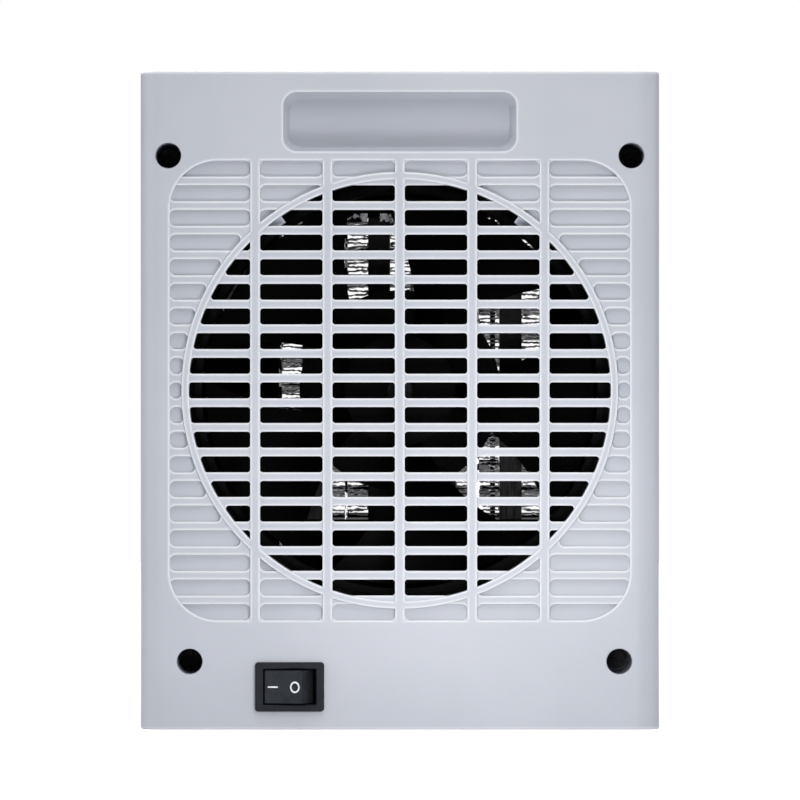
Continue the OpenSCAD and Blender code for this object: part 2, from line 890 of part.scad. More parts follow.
// A screw along Y: its head faces +Y when way is 1
module screw(x, z, r, head_r, y_seat, len, way) {
  head_h = head_r * 0.7;
  recess = head_h / 2;
  y_tip = y_seat - way * len;
  y_top = y_seat + way * head_h;
  rod(x, z, r, min(y_tip, y_seat), max(y_tip, y_seat));
  difference() {
    rod(x, z, head_r, min(y_seat, y_top), max(y_seat, y_top));
    slab(min(y_top - way * recess, y_top + way * eps), max(y_top - way * recess, y_top + way * eps))
      translate([x, z]) {
        square([head_r * 1.2, head_r * 0.3], center = true);
        square([head_r * 0.3, head_r * 1.2], center = true);
      }
  }
}

module motor_screws() {
  color(steel)
    for (x = [-1, 1])
      screw(x * motor_r / 2, fan_z, post_screw_r, 2 * post_screw_r, disc_y1 + seat / 2,
            disc_t + can_t, 1);
}

module shroud_screws() {
  color(steel)
    for (x = [-1, 1], z = [-1, 1])
      screw(x * post_at, fan_z + z * post_at, post_screw_r, 2.3 * post_screw_r,
            shroud_y1 - flange_t - seat, post_screw_len, -1);
}

module housing_screws() {
  color(steel)
    for (w = wells)
      screw(w[0], w[1], screw_r, well_r - eps, well_floor_y + seat, screw_len, 1);
}

// --- Heater block ---

module heater_frame() {
  color(black)
  difference() {
    heater_frame_walls();
    tab_slots(slip);
  }
}

module heater_frame_walls() {
  translate([0, 0, fan_z]) {
    slab(frame_y0, frame_y1)
      difference() {
        rounded(frame_w, frame_w, frame_r);
        rounded(frame_w - 2 * frame_t, frame_w - 2 * frame_t, frame_r - frame_t);
      }
    slab(shroud_y0 - seat - frame_t, shroud_y0 - seat)
      difference() {
        rounded(shroud_w, shroud_w, shroud_r);
        rounded(frame_w - root, frame_w - root, frame_r);
      }
  }
  slab(frame_y0, frame_y0 + tray_t)
    difference() {
      translate([0, fan_z]) square(frame_w - 2 * frame_t + root, center = true);
      translate([core_x, core_z]) square([window_w, window_h], center = true);
    }
  slab(frame_y0, core_y1 + frame_t)
    translate([core_x, core_z])
      difference() {
        square([window_w + 2 * frame_t, window_h + 2 * frame_t], center = true);
        square([window_w, window_h], center = true);
      }
}

// Places children at the middle of each heating cell
module each_cell() {
  for (i = [0 : bars - 1])
    translate([core_x + (i - (bars - 1) / 2) * cell_w, 0, core_z]) children();
}

function plate_x(i) = core_x + (i - bars / 2) * cell_w;

// Tabs at the foot of most plates, or the slots that they leave the block by
module tab_slots(grow) {
  slab(core_mid_y - tab_w / 2 - grow, core_mid_y + tab_w / 2 + grow)
    for (i = [0 : bars])
      if (i != flag_at && i != flag_at + 1)
        translate([plate_x(i) - plate_t / 2 - grow, core_z - core_h / 2 - tab_h])
          square([plate_t + 2 * grow, tab_h + root]);
}

// Flags of the other two plates, bent over the rear of the block's upper end
module flags() {
  z0 = core_z + core_h / 2 - flag_h / 2;
  y0 = core_y1 - root;
  y1 = core_y1 + cap_over + flag_out + plate_t;
  for (i = [0, 1]) {
    translate([plate_x(flag_at + i) - plate_t / 2, y0, z0]) cube([plate_t, y1 - y0, flag_h / 2]);
    translate([plate_x(flag_at + i) - i * flag_w[i], y1 - plate_t, z0])
      cube([flag_w[i], plate_t, flag_h]);
  }
}

module heater_bars() {
  color([0.20, 0.20, 0.21])
    each_cell()
      translate([0, core_mid_y, -core_h / 2])
        linear_extrude(height = core_h)
          difference() {
            square([bar_w, core_d], center = true);
            square([bar_w - 2 * tube_t, core_d - 2 * tube_end_t], center = true);
          }
}

module ptc_stones() {
  stone_w = bar_w - 2 * tube_t - 2 * slip;
  stone_d = core_d - 2 * tube_end_t - 2 * slip;
  color(ceramic)
    each_cell()
      for (j = [0 : stones - 1])
        translate([0, core_mid_y, (j - (stones - 1) / 2) * core_h / stones])
          cube([stone_w, stone_d, core_h / stones - root], center = true);
}

// One folded fin strip: level crossings between x0 and x1, joined at their ends
module fin_strip(x0, x1) {
  pairs = floor(core_h / (2 * fold));
  z0 = fold / 2 - pairs * fold;
  function low(i) = z0 + i * fold - fin_lean / 2;
  function high(i) = z0 + i * fold + fin_lean / 2;
  right = [for (k = [0 : pairs - 1]) let (i = 2 * k)
             each [[k == 0 ? x0 : x0 + fin_t, low(i) - fin_t / 2], [x1, high(i) - fin_t / 2],
                   [x1, low(i + 1) + fin_t / 2],
                   [k == pairs - 1 ? x0 : x0 + fin_t, high(i + 1) + fin_t / 2]]];
  left = [for (k = [pairs - 1 : -1 : 0]) let (i = 2 * k)
            each [[x0, high(i + 1) - fin_t / 2], [x1 - fin_t, low(i + 1) - fin_t / 2],
                  [x1 - fin_t, high(i) + fin_t / 2], [x0, low(i) + fin_t / 2]]];
  slab(core_y0, core_y1) polygon(concat(right, left));
}

module heater_fins() {
  x0 = bar_w / 2 + run;
  x1 = cell_w / 2 - plate_t / 2 - run;
  color(aluminium)
    each_cell() {
      fin_strip(x0, x1);
      mirror([1, 0, 0]) fin_strip(x0, x1);
    }
}

module electrode_plates() {
  color(aluminium) {
    slab(core_y0, core_y1)
      for (i = [0 : bars])
        translate([plate_x(i), core_z]) square([plate_t, core_h], center = true);
    tab_slots(0);
    flags();
  }
}

module heater_end_caps() {
  color(black)
    difference() {
      slab(core_y0 - cap_over, core_y1 + cap_over)
        for (end = [-1, 1])
          translate([core_x, core_z + end * (core_h / 2 + slip + cap_h / 2)])
            square([core_w, cap_h], center = true);
      tab_slots(slip);
    }
}

// Disc thermostat that lies on the frame beside the block, with a lug at each end
module thermal_cutout() {
  z = core_z + core_h / 4;
  color(steel) {
    rod(side_x, z, cutout_r, side_y, side_y + cutout_h);
    rod(side_x, z, cutout_cap_r, side_y, side_y + cutout_h + cutout_cap_h);
    for (i = [-1, 1])
      slab(side_y + plate_t, side_y + 2 * plate_t)
        translate([side_x, z + i * (cutout_r + lug_w / 3)]) square([lug_w - root, lug_w], center = true);
  }
}

module thermal_fuse() {
  color(ceramic)
    translate([side_x, side_y + fuse_r, core_z - core_h / 4]) {
      cylinder(r = fuse_r, h = fuse_len, center = true);
      cylinder(r = fuse_r / 4, h = fuse_len + 2 * lead_len, center = true);
    }
}

// --- Controls ---

// Switch body with a threaded bush through the front face
module rotary_body(x, size) {
  y0 = front_in + seat;
  y1 = y0 + size[2];
  thread_y = front_y - control_nut_t - thread_out;
  difference() {
    union() {
      slab(y0, y1) translate([x, knob_z]) rounded(size[0], size[1], control_body_r);
      rod(x, knob_z, control_bush_r, thread_y, y0 + root);
      for (i = [-1, 0, 1])
        slab(y1 - root, y1 + lug_len)
          translate([x + i * size[0] / 3.5, knob_z - size[1] / 4])
            square([lug_t, lug_w], center = true);
    }
    rod(x, knob_z, control_shaft_r + run, thread_y - eps, y1 - size[2] / 4);
  }
}

module mode_switch() {
  color(black) rotary_body(-knob_x, mode_size);
}

module thermostat() {
  color(steel) rotary_body(knob_x, stat_size);
}

module control_shaft(x) {
  rod(x, knob_z, control_shaft_r, knob_y0 + knob_top + seat, front_in + stat_size[2] / 2);
}

module mode_shaft() {
  color(steel) control_shaft(-knob_x);
}

module thermostat_shaft() {
  color(steel) control_shaft(knob_x);
}

module control_nuts() {
  color(steel)
    slab(front_y - control_nut_t - seat, front_y - seat)
      for (x = [-1, 1])
        translate([x * knob_x, knob_z])
          difference() {
            circle(control_nut_r, $fn = 6);
            circle(control_bush_r + seat);
          }
}

// A knob with a skirt, a finger bar and a pointer groove
module knob(x) {
  finger_r = knob_r - knob_top;
  translate([x, 0, knob_z])
  difference() {
    union() {
      rod(0, 0, knob_r, knob_y1 - skirt_h, knob_y1);
      intersection() {
        rod(0, 0, finger_r, knob_y0, knob_y1);
        slab(knob_y0 - eps, knob_y1) square([finger_w, 2 * knob_r], center = true);
      }
      rod(0, 0, control_shaft_r + knob_top, knob_y0 + knob_top, knob_y1);
    }
    rod(0, 0, control_nut_r + root, knob_y1 - control_nut_t - thread_out, knob_y1 + eps);
    rod(0, 0, control_shaft_r + press, knob_y0 + knob_top, knob_y1 + eps);
    slab(knob_y0 - eps, knob_y0 + mark_d)
      translate([-mark_w / 2, finger_r / 2]) square([mark_w, finger_r]);
  }
}

module mode_knob() {
  color(black) knob(-knob_x);
}

module thermostat_knob() {
  color(black) knob(knob_x);
}

// Power switch: bezel and body, open towards the rear
module rocker_housing() {
  color(black)
  difference() {
    union() {
      slab(rear_y + seat / 2, rear_y + bezel_t)
        translate([rocker_x, rocker_z]) rounded(bezel_w, bezel_h, bezel_r);
      slab(body_y, rear_y + root)
        translate([rocker_x, rocker_z])
          square([bezel_w - 2 * bezel_lap - 2 * slip, bezel_h - 2 * bezel_lap - 2 * slip],
                 center = true);
    }
    slab(body_y + switch_floor, rear_y + bezel_t + eps)
      translate([rocker_x, rocker_z]) square([cavity_w, cavity_h], center = true);
    translate([rocker_x, pivot_y, rocker_z])
      cylinder(r = pin_r + run, h = bezel_h, center = true);
    contact_blades(body_y - eps, body_y + switch_floor + eps, run);
  }
}

// The two blades of the power switch, or the slots that hold them
module contact_blades(y0, y1, grow) {
  slab(y0, y1)
    for (i = [-1, 1])
      translate([rocker_x + i * contact_x, rocker_z])
        square([contact_t + 2 * grow, tab_w + 2 * grow], center = true);
}

// The rocker at rest has the end next to the side wall pressed in
module rocker() {
  top = 5.8;
  foot = 7.4;
  belly = 5;
  keel = 4.5;
  rise = 8;
  dish_r = 34;
  dish_d = 0.5;
  half_z = cavity_h / 2 - 0.35;
  pin_out = 0.7;
  color(black)
  translate([rocker_x, pivot_y, rocker_z])
    rotate([0, 0, -rocker_tilt]) {
      translate([0, 0, -half_z])
        linear_extrude(height = 2 * half_z)
          difference() {
            polygon([[-top, rise], [-foot, 0], [-belly, root - keel], [0, -keel],
                     [belly, root - keel], [foot, 0], [top, rise]]);
            translate([0, rise - dish_d + dish_r]) circle(dish_r, $fn = 96);
          }
      cylinder(r = pin_r, h = 2 * (half_z + pin_out), center = true);
    }
}

module rocker_terminals() {
  color(brass) contact_blades(body_y - contact_len, body_y + switch_floor - seat, 0);
}

// --- Base ---

// Tip-over switch that stands on the bottom wall
module tilt_switch() {
  color(black)
    translate([tilt_x, base_y, wall + seat])
      for (size = [tilt_size, tilt_foot])
        translate([-size[0] / 2, -size[1] / 2, 0]) cube(size);
}

module terminal_block() {
  width = poles * pole_pitch;
  color(ceramic)
    translate([block_x, base_y, wall + seat])
      difference() {
        translate([-width / 2, -block_d / 2, 0]) cube([width, block_d, block_h]);
        for (i = [0 : poles - 1], y = [-1, 1])
          translate([(i + 0.5) * pole_pitch - width / 2, y * block_d / 4, block_h - pole_deep])
            cylinder(r = pole_r, h = pole_deep + eps);
      }
}

// A rubber bush, flush with the side of the rear shell
module cord_gland() {
  color(black)
    translate([body_w / 2, gland_y, gland_z])
      rotate([0, 90, 0]) {
        translate([0, 0, -gland_flange_t]) cylinder(r = gland_flange_r, h = gland_flange_t);
        translate([0, 0, -wall - gland_lip]) cylinder(r = gland_r, h = wall + gland_lip);
        translate([0, 0, -wall - gland_lip]) cylinder(r = gland_r + root, h = gland_lip - seat);
      }
}

module foot_pads() {
  color(black)
    for (x = [-1, 1], y = [rear_y - pad_in, front_y + pad_in])
      translate([x * pad_x, y, 0]) cylinder(r = pad_r, h = pad_t - seat);
}

rear_shell();
front_shell();
outlet_frame();
outlet_louvres();
control_panel();
fan_shroud();
fan_impeller();
motor_shaft();
motor_rotor();
shaft_nut();
motor_can();
motor_end_cap();
motor_magnets();
motor_bushes();
rectifier_board();
motor_screws();
shroud_screws();
heater_frame();
heater_bars();
ptc_stones();
heater_fins();
electrode_plates();
heater_end_caps();
thermal_cutout();
thermal_fuse();
mode_switch();
mode_shaft();
mode_knob();
thermostat();
thermostat_shaft();
thermostat_knob();
control_nuts();
rocker_housing();
rocker();
rocker_terminals();
housing_screws();
tilt_switch();
terminal_block();
cord_gland();
foot_pads();
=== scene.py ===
import math

import bmesh
import bpy
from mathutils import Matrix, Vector
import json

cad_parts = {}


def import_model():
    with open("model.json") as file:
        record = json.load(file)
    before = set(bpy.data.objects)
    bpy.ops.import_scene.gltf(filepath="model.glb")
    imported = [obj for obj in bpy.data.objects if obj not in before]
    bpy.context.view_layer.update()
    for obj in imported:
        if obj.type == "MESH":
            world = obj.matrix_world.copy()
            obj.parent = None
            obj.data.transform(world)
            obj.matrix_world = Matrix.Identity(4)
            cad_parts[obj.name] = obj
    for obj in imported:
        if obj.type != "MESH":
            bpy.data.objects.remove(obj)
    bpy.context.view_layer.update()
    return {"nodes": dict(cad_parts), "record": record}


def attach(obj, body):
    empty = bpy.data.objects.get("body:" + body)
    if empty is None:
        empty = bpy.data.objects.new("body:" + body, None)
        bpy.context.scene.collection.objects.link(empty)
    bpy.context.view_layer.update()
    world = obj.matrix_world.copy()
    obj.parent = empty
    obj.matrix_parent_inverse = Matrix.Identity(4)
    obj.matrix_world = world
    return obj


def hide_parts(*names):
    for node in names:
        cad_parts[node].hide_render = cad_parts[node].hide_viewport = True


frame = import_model()
nodes = frame["nodes"]


def linear(colour):
    # a colour as a paint chip reads, 0 to 255, as the shader wants it
    parts = [c / 255 for c in colour]
    return tuple(c / 12.92 if c < 0.04045 else ((c + 0.055) / 1.055) ** 2.4 for c in parts) + (1.0,)


# the camera stands behind the heater, level, far off, with a long lens
cameraSetup = {
    "distance": 2.4, "rearFace": 0.058, "side": -0.00005, "height": 0.10018,
    "lens": 355.3, "sensor": 36, "near": 0.1, "far": 20,
}

cameraData = bpy.data.cameras.new("rearCamera")
cameraData.lens = cameraSetup["lens"]
cameraData.sensor_width = cameraSetup["sensor"]
cameraData.clip_start = cameraSetup["near"]
cameraData.clip_end = cameraSetup["far"]
camera = bpy.data.objects.new("rearCamera", cameraData)
camera.location = (
    cameraSetup["side"], cameraSetup["rearFace"] + cameraSetup["distance"], cameraSetup["height"],
)
camera.rotation_euler = (math.radians(90), 0, math.radians(180))
bpy.context.scene.collection.objects.link(camera)
bpy.context.scene.camera = camera
print("camera set")


# finishes; the samples are for the rays that find a corner
cornerSamples = 6
plasticIor = 1.48


def newFinish(name):
    finish = bpy.data.materials.new(name)
    finish.use_nodes = True
    tree = finish.node_tree
    tree.nodes.clear()
    output = tree.nodes.new("ShaderNodeOutputMaterial")
    shader = tree.nodes.new("ShaderNodeBsdfPrincipled")
    tree.links.new(shader.outputs["BSDF"], output.inputs["Surface"])
    place = tree.nodes.new("ShaderNodeTexCoord")
    return finish, tree, shader, place.outputs["Object"]


def grain(tree, place, scale, detail=3.0, stretch=(1, 1, 1)):
    # cloudy pattern whose cells are about 1/scale metres
    mapping = tree.nodes.new("ShaderNodeMapping")
    mapping.inputs["Scale"].default_value = stretch
    tree.links.new(place, mapping.inputs["Vector"])
    noise = tree.nodes.new("ShaderNodeTexNoise")
    noise.inputs["Scale"].default_value = scale
    noise.inputs["Detail"].default_value = detail
    tree.links.new(mapping.outputs["Vector"], noise.inputs["Vector"])
    return noise.outputs["Fac"]


def spread(tree, value, low, high, start=0.35, end=0.65):
    # a pattern value brought between low and high
    node = tree.nodes.new("ShaderNodeMapRange")
    node.inputs["From Min"].default_value = start
    node.inputs["From Max"].default_value = end
    node.inputs["To Min"].default_value = low
    node.inputs["To Max"].default_value = high
    tree.links.new(value, node.inputs["Value"])
    return node.outputs["Result"]


def combined(tree, operation, first, second):
    # two values of a pattern made into one, such as the product or the higher
    node = tree.nodes.new("ShaderNodeMath")
    node.operation = operation
    tree.links.new(first, node.inputs[0])
    tree.links.new(second, node.inputs[1])
    return node.outputs["Value"]


def blendColours(tree, value, first, second):
    node = tree.nodes.new("ShaderNodeMix")
    node.data_type = "RGBA"
    node.inputs["A"].default_value = linear(first)
    node.inputs["B"].default_value = linear(second)
    tree.links.new(value, node.inputs["Factor"])
    return node.outputs["Result"]


def bump(tree, shader, value, height, under=None):
    node = tree.nodes.new("ShaderNodeBump")
    node.inputs["Strength"].default_value = 1.0
    node.inputs["Distance"].default_value = height
    tree.links.new(value, node.inputs["Height"])
    if under is not None:
        tree.links.new(under, node.inputs["Normal"])
    tree.links.new(node.outputs["Normal"], shader.inputs["Normal"])
    return node.outputs["Normal"]


def softCorners(tree, radius):
    # the small radius that a mould leaves along a corner
    soft = tree.nodes.new("ShaderNodeBevel")
    soft.samples = cornerSamples
    soft.inputs["Radius"].default_value = radius
    return soft.outputs["Normal"]


def rubbedCorners(tree, reach):
    # 1 on a corner that stands out, where the colour gets a painted highlight, 0 on a flat
    ridge = tree.nodes.new("ShaderNodeAmbientOcclusion")
    ridge.inside = True
    ridge.only_local = True
    ridge.samples = cornerSamples
    ridge.inputs["Distance"].default_value = reach
    return spread(tree, ridge.outputs["AO"], 1, 0, start=0.55, end=0.95)


def awayFrom(tree, place, spots, fade):
    # 0 round each spot of the rear face, 1 farther off; the fade gives the two distances
    flat = tree.nodes.new("ShaderNodeVectorMath")
    flat.operation = "MULTIPLY"
    flat.inputs[1].default_value = (1, 0, 1)
    tree.links.new(place, flat.inputs[0])
    nearest = None
    for x, z in spots:
        gap = tree.nodes.new("ShaderNodeVectorMath")
        gap.operation = "DISTANCE"
        gap.inputs[1].default_value = (x, 0, z)
        tree.links.new(flat.outputs["Vector"], gap.inputs[0])
        distance = gap.outputs["Value"]
        nearest = distance if nearest is None else combined(tree, "MINIMUM", nearest, distance)
    return spread(tree, nearest, 0, 1, *fade)


def mouldedPlastic(name, look):
    # spark-eroded moulding: soft clouding in the colour, fine grain in gloss and relief
    finish, tree, shader, place = newFinish(name)
    clouds = spread(tree, grain(tree, place, look["cloudScale"], detail=4), 0, 1)
    colour = blendColours(tree, clouds, look["dark"], look["light"])
    corners = None
    if "corner" in look:
        corners = softCorners(tree, look["corner"])
    # painted highlight: a near-white laid into the colour on the corners that stand out, away from the
    # given spots, for the light that rounded corners catch
    if "paintedHighlight" in look:
        paintedHighlight = tree.nodes.new("ShaderNodeMix")
        paintedHighlight.data_type = "RGBA"
        paintedHighlight.inputs["B"].default_value = linear(look["paintedHighlight"])
        ridges = rubbedCorners(tree, look["highlightReach"])
        reached = awayFrom(tree, place, look["unhighlightedSpots"], look["highlightFade"])
        tree.links.new(combined(tree, "MULTIPLY", ridges, reached), paintedHighlight.inputs["Factor"])
        tree.links.new(colour, paintedHighlight.inputs["A"])
        colour = paintedHighlight.outputs["Result"]
    tree.links.new(colour, shader.inputs["Base Color"])
    fine = grain(tree, place, look["grainScale"], detail=2)
    tree.links.new(spread(tree, fine, *look["gloss"]), shader.inputs["Roughness"])
    swell = grain(tree, place, look["waveScale"], detail=1)
    waves = bump(tree, shader, swell, look["waveHeight"], corners)
    bump(tree, shader, fine, look["grainHeight"], waves)
    shader.inputs["IOR"].default_value = plasticIor
    shader.inputs["Specular IOR Level"].default_value = look.get("shine", 0.5)
    return finish


def drawnMetal(name, look):
    # rolled, turned or plated metal: streaks along one way, stains over them
    finish, tree, shader, place = newFinish(name)
    shader.inputs["Metallic"].default_value = look.get("metallic", 1.0)
    patches = grain(tree, place, look["stainScale"], detail=5)
    stains = spread(tree, patches, 0, 1, *look.get("stainEdges", (0.35, 0.65)))
    tree.links.new(blendColours(tree, stains, look["dark"], look["light"]), shader.inputs["Base Color"])
    streaks = grain(tree, place, look["streakScale"], detail=3, stretch=look["streakWay"])
    tree.links.new(spread(tree, streaks, *look["gloss"]), shader.inputs["Roughness"])
    bump(tree, shader, streaks, look["streakHeight"])
    return finish


def grittySolid(name, look):
    # ceramic, magnet, laminate and rubber: speckled, dry
    finish, tree, shader, place = newFinish(name)
    specks = spread(tree, grain(tree, place, look["speckScale"], detail=6), 0, 1, start=0.42, end=0.6)
    tree.links.new(blendColours(tree, specks, look["dark"], look["light"]), shader.inputs["Base Color"])
    dryness = spread(tree, specks, *look["gloss"], start=0, end=1)
    tree.links.new(dryness, shader.inputs["Roughness"])
    bump(tree, shader, specks, look["height"])
    return finish


# painted highlight: a near-white along the corners that stand out; the spots are the screw wells, whose
# rims get none of it
shellLook = {
    "dark": (188, 192, 200), "light": (195, 198, 206), "cloudScale": 18, "grainScale": 2600,
    "grainHeight": 0.000006, "gloss": (0.36, 0.5), "waveScale": 30, "waveHeight": 0.00012,
    "corner": 0.0006, "paintedHighlight": (246, 247, 250), "highlightReach": 0.0009, "highlightFade": (0.00495, 0.0055),
    "unhighlightedSpots": ((0.0704, 0.1745), (-0.0704, 0.1745), (0.0639, 0.0207), (-0.0667, 0.0207)),
}
darkLook = {
    "dark": (20, 21, 23), "light": (29, 30, 33), "cloudScale": 60, "grainScale": 1800, "shine": 0.4,
    "grainHeight": 0.00001, "gloss": (0.42, 0.58), "waveScale": 50, "waveHeight": 0.0001, "corner": 0.0004,
}
# black plastic and painted shade: a near-black far darker than the other black plastic, with little gloss,
# for the shade inside the housing
shroudShadeLook = {
    "dark": (3, 3, 4), "light": (6, 6, 7), "cloudScale": 40, "grainScale": 1400, "shine": 0.08,
    "grainHeight": 0.00001, "gloss": (0.6, 0.75), "waveScale": 40, "waveHeight": 0.0001,
}
# black plastic and painted shade: a near-black far darker than the other black plastic, with little gloss,
# for the shade behind the grille
fanShadeLook = {
    "dark": (2, 2, 3), "light": (4, 4, 5), "cloudScale": 50, "grainScale": 1500, "shine": 0.04,
    "grainHeight": 0.000005, "gloss": (0.4, 0.5), "waveScale": 60, "waveHeight": 0.0002,
}
knobLook = {
    "dark": (22, 23, 26), "light": (31, 32, 36), "cloudScale": 90, "grainScale": 2200,
    "grainHeight": 0.000012, "gloss": (0.34, 0.5), "waveScale": 80, "waveHeight": 0.00005, "corner": 0.0003,
}
switchLook = {
    "dark": (41, 44, 48), "light": (51, 54, 58), "cloudScale": 240, "grainScale": 3500, "shine": 0.1,
    "grainHeight": 0.000004, "gloss": (0.24, 0.36), "waveScale": 90, "waveHeight": 0.00004,
}
bezelLook = {
    "dark": (22, 25, 32), "light": (29, 32, 40), "cloudScale": 200, "grainScale": 3000, "shine": 0.2,
    "grainHeight": 0.000006, "gloss": (0.4, 0.55), "waveScale": 90, "waveHeight": 0.00004,
}
steelLook = {
    "dark": (128, 128, 130), "light": (178, 178, 182), "stainScale": 180, "streakScale": 900,
    "streakWay": (1, 0.15, 1), "streakHeight": 0.000004, "gloss": (0.26, 0.44),
}
# blackened steel and painted shade: dark enough to stand for the shade in the deep screw wells; the motor
# shaft uses it too
screwShadeLook = {
    "dark": (22, 22, 24), "light": (44, 44, 47), "stainScale": 600, "streakScale": 2400,
    "streakWay": (1, 1, 1), "streakHeight": 0.000006, "gloss": (0.3, 0.5),
}
brassLook = {
    "dark": (164, 128, 66), "light": (204, 168, 98), "stainScale": 260, "streakScale": 1200,
    "streakWay": (1, 0.1, 1), "streakHeight": 0.000003, "gloss": (0.24, 0.4),
}
# painted shade: the aluminium fins get a grey far darker than bare foil, for the shade inside the heater
foilShadeLook = {
    "dark": (60, 60, 64), "light": (140, 140, 145), "stainScale": 500, "streakScale": 1500,
    "streakWay": (1, 0.2, 1), "streakHeight": 0.00001, "gloss": (0.25, 0.45),
}
plateLook = {
    "dark": (20, 20, 22), "light": (240, 240, 243), "stainScale": 300, "stainEdges": (0.49, 0.54),
    "streakScale": 700, "streakWay": (1, 1, 0.2), "streakHeight": 0.000003, "gloss": (0.2, 0.34),
}
barLook = {
    "dark": (8, 8, 9), "light": (20, 20, 22), "stainScale": 240, "streakScale": 1400,
    "streakWay": (1, 1, 0.12), "streakHeight": 0.00001, "gloss": (0.35, 0.55), "metallic": 0.6,
}
stoneLook = {
    "dark": (196, 190, 178), "light": (226, 221, 210), "speckScale": 1600, "gloss": (0.7, 0.9),
    "height": 0.00002,
}
magnetLook = {
    "dark": (34, 34, 37), "light": (62, 62, 66), "speckScale": 1200, "gloss": (0.5, 0.75),
    "height": 0.00002,
}
boardLook = {
    "dark": (30, 84, 56), "light": (52, 110, 76), "speckScale": 900, "gloss": (0.4, 0.6),
    "height": 0.00001,
}
rubberLook = {
    "dark": (15, 15, 16), "light": (30, 30, 32), "speckScale": 1400, "gloss": (0.62, 0.85),
    "height": 0.00002,
}
inkLook = {
    "dark": (226, 228, 232), "light": (246, 247, 250), "speckScale": 2600, "gloss": (0.4, 0.55),
    "height": 0.000004,
}

finishes = {
    "shell": mouldedPlastic("shellPlastic", shellLook),
    "black_plastic": mouldedPlastic("darkPlastic", darkLook),
    "fan_plastic": mouldedPlastic("fanPlasticShade", fanShadeLook),
    "knob_plastic": mouldedPlastic("knobPlastic", knobLook),
    "switch_plastic": mouldedPlastic("switchPlastic", switchLook),
    "steel": drawnMetal("platedSteel", steelLook),
    "brass": drawnMetal("turnedBrass", brassLook),
    "aluminium": drawnMetal("finFoilShade", foilShadeLook),
    "heater_bar": drawnMetal("heaterTube", barLook),
    "ceramic": grittySolid("heatingStone", stoneLook),
    "magnet": grittySolid("motorMagnet", magnetLook),
    "board": grittySolid("boardLaminate", boardLook),
    "rubber": grittySolid("blackRubber", rubberLook),
}
shadedScrewSteel = drawnMetal("blackenedScrewShade", screwShadeLook)
# painted shade: the nut's steel is far darker than the plated steel, for the shade at the middle of the fan
shadedNutSteel = drawnMetal("nutSteelShade", {**steelLook, "dark": (26, 26, 28), "light": (46, 46, 49)})
shroudPlasticShade = mouldedPlastic("shroudPlasticShade", shroudShadeLook)
bezelPlastic = mouldedPlastic("bezelPlastic", bezelLook)
platePolish = drawnMetal("polishedPlate", plateLook)
whiteInk = grittySolid("whiteInk", inkLook)

nodeFinishes = {
    "housing_screws": shadedScrewSteel, "shroud_screws": shadedScrewSteel, "motor_shaft": shadedScrewSteel,
    "shaft_nut": shadedNutSteel, "electrode_plates": platePolish, "fan_shroud": shroudPlasticShade,
    "heater_frame": shroudPlasticShade, "heater_end_caps": shroudPlasticShade, "motor_end_cap": shroudPlasticShade,
}
slotOf = {part["node"]: part["material_slot"] for part in frame["record"]["subparts"]}
for nodeName, node in nodes.items():
    node.data.materials.clear()
    node.data.materials.append(nodeFinishes.get(nodeName, finishes[slotOf[nodeName]]))
print("finishes made")


# in an edges dictionary, pick chooses the edges that get the round
meshWork = {"weld": 0.000002, "normalWeight": 80}
mouldedEdges = {"flat": 0.3, "sharp": 32, "steps": 2, "clamp": False, "smooth": 38}
fineEdges = {"flat": 0.2, "sharp": 30, "steps": 3, "clamp": True, "smooth": 40}


def behind(depth):
    return lambda a, b: min(a.y, b.y) > depth


def before(depth):
    return lambda a, b: max(a.y, b.y) < depth


def everyEdge(a, b):
    return True


def selectOnly(piece):
    bpy.ops.object.select_all(action="DESELECT")
    piece.select_set(True)
    bpy.context.view_layer.objects.active = piece


def dress(piece, finish, slotName, bodyName, *replaced):
    piece.data.materials.clear()
    piece.data.materials.append(finish)
    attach(piece, bodyName)
    if replaced:
        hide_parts(*replaced)


def openCopy(nodeName, pieceName):
    # a copy of the node's mesh, merged and left in edit mode
    piece = bpy.data.objects.new(pieceName, nodes[nodeName].data.copy())
    bpy.context.scene.collection.objects.link(piece)
    selectOnly(piece)
    bpy.ops.mesh.customdata_custom_splitnormals_clear()
    bpy.ops.object.mode_set(mode="EDIT")
    bpy.ops.mesh.select_mode(type="EDGE")
    bpy.ops.mesh.select_all(action="SELECT")
    bpy.ops.mesh.remove_doubles(threshold=meshWork["weld"])
    return piece


def softEdgedCopy(nodeName, pieceName, edges):
    # the moulded piece with its sharp outside corners rounded as a mould leaves them
    piece = openCopy(nodeName, pieceName)
    edges = {**mouldedEdges, **edges}
    bpy.ops.mesh.dissolve_limited(angle_limit=math.radians(edges["flat"]))
    if "shape" in edges:
        edges["shape"]()
    roundEdges(piece, edges)
    bpy.ops.object.mode_set(mode="OBJECT")
    finishShading(piece, edges["smooth"])
    return piece


def roundEdges(piece, edges):
    bpy.ops.mesh.select_all(action="DESELECT")
    mesh = bmesh.from_edit_mesh(piece.data)
    sharp = math.radians(edges["sharp"])
    for edge in mesh.edges:
        if len(edge.link_faces) == 2 and edge.calc_face_angle() > sharp:
            edge.select = edge.is_convex and edges["pick"](edge.verts[0].co, edge.verts[1].co)
    bmesh.update_edit_mesh(piece.data)
    bpy.ops.mesh.bevel(
        offset=edges["round"], segments=edges["steps"], profile=0.5, affect="EDGES",
        clamp_overlap=edges["clamp"], loop_slide=False,
    )


def finishShading(piece, angle):
    selectOnly(piece)
    bpy.ops.object.shade_smooth_by_angle(angle=math.radians(angle))
    even = piece.modifiers.new("evenNormals", "WEIGHTED_NORMAL")
    even.keep_sharp = True
    even.weight = meshWork["normalWeight"]
    bpy.ops.object.modifier_apply(modifier=even.name)


